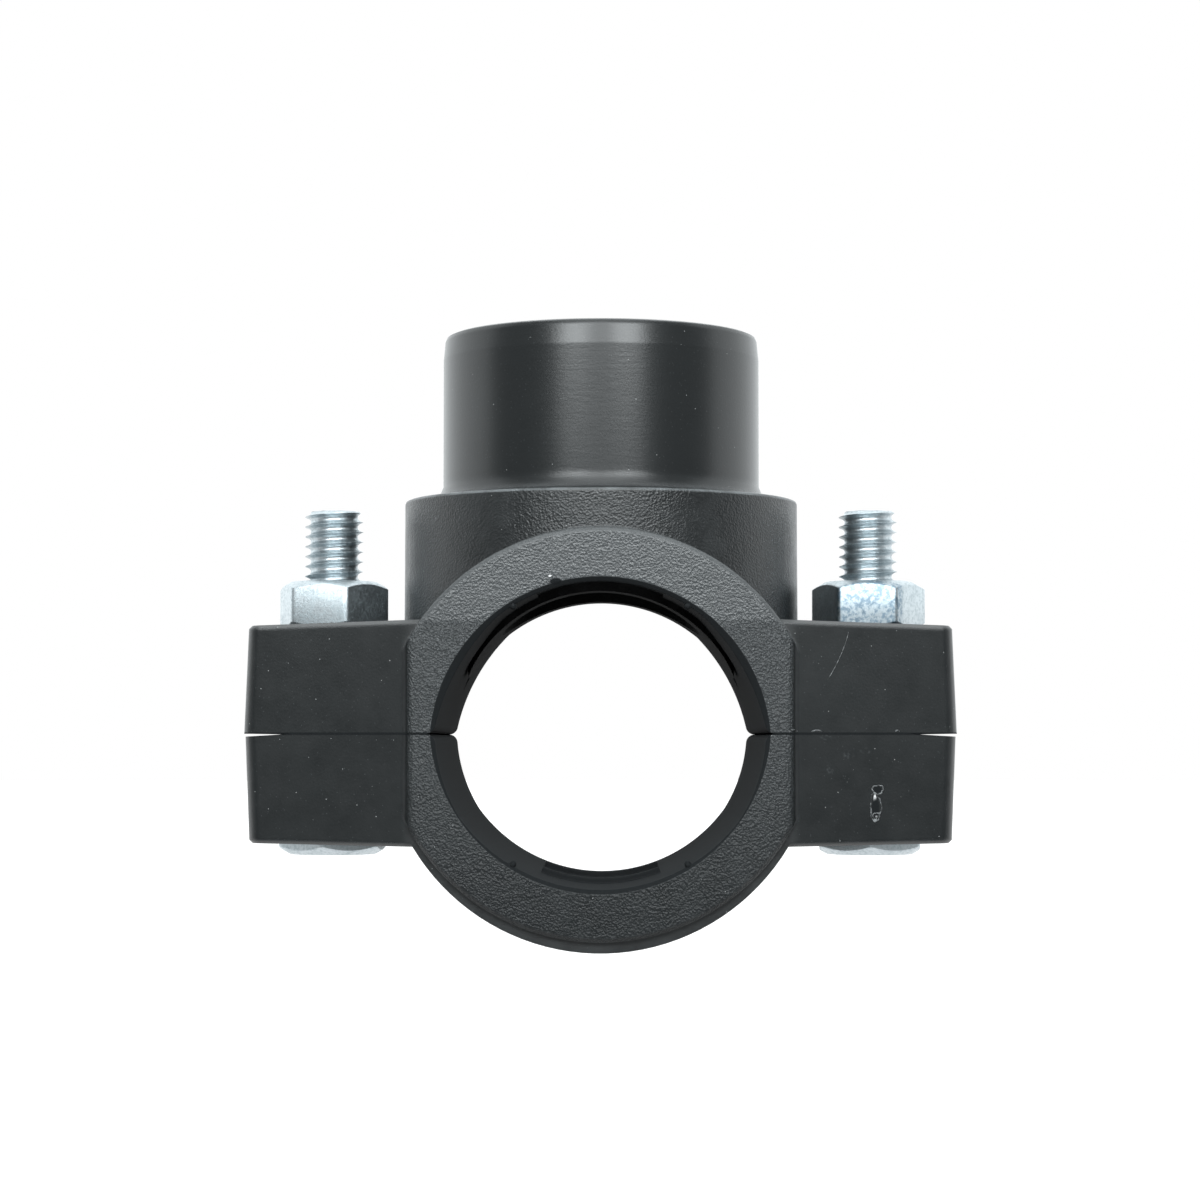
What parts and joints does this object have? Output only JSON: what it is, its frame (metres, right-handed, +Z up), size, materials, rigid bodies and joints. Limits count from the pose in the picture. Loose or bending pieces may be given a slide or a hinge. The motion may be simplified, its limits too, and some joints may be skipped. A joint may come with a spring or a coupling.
{
  "type": "tapping saddle",
  "caption": "Black plastic tapping saddle: two halves bolted round a water pipe, with a collar and an upright outlet that has a female thread.",
  "frame": {"origin": "middle of the pipe seat, on the joint face between the two halves", "axes": "+X from the left lug to the right one, +Y along the pipe from front to back, +Z up the outlet"},
  "size_m": [0.0674, 0.042, 0.0606],
  "materials": {
    "saddle_plastic": "near-black moulded polypropylene, fine grain on the ring and collar, smoother on the outlet",
    "seal_rubber": "plain black moulded rubber",
    "zinc_steel": "bright bluish zinc plating, a little worn"
  },
  "bodies": {
    "upper_half": {"upper_saddle": "saddle_plastic", "seal_ring": "seal_rubber"},
    "lower_half": {"lower_saddle": "saddle_plastic", "left_bolt": "zinc_steel", "right_bolt": "zinc_steel"},
    "nut_on_left": {"left_nut": "zinc_steel"},
    "nut_on_right": {"right_nut": "zinc_steel"}
  },
  "joints": [
    {"name": "left_nut_turn", "type": "hinge", "parent": "upper_half", "child": "nut_on_left", "pos_m": [-0.027, 0, 0.013], "axis": [0, 0, 1], "range_deg": [0, 2520]},
    {"name": "right_nut_turn", "type": "hinge", "parent": "upper_half", "child": "nut_on_right", "pos_m": [0.027, 0, 0.013], "axis": [0, 0, 1], "range_deg": [0, 2520]},
    {"name": "clamp_open", "type": "slide", "parent": "upper_half", "child": "lower_half", "axis": [0, 0, -1], "range_m": [0, 0.007]}
  ],
  "couplings": [
    {"joint": "left_nut_turn", "follows": "clamp_open", "rad_per_m": 6283.2},
    {"joint": "right_nut_turn", "follows": "clamp_open", "rad_per_m": 6283.2}
  ]
}
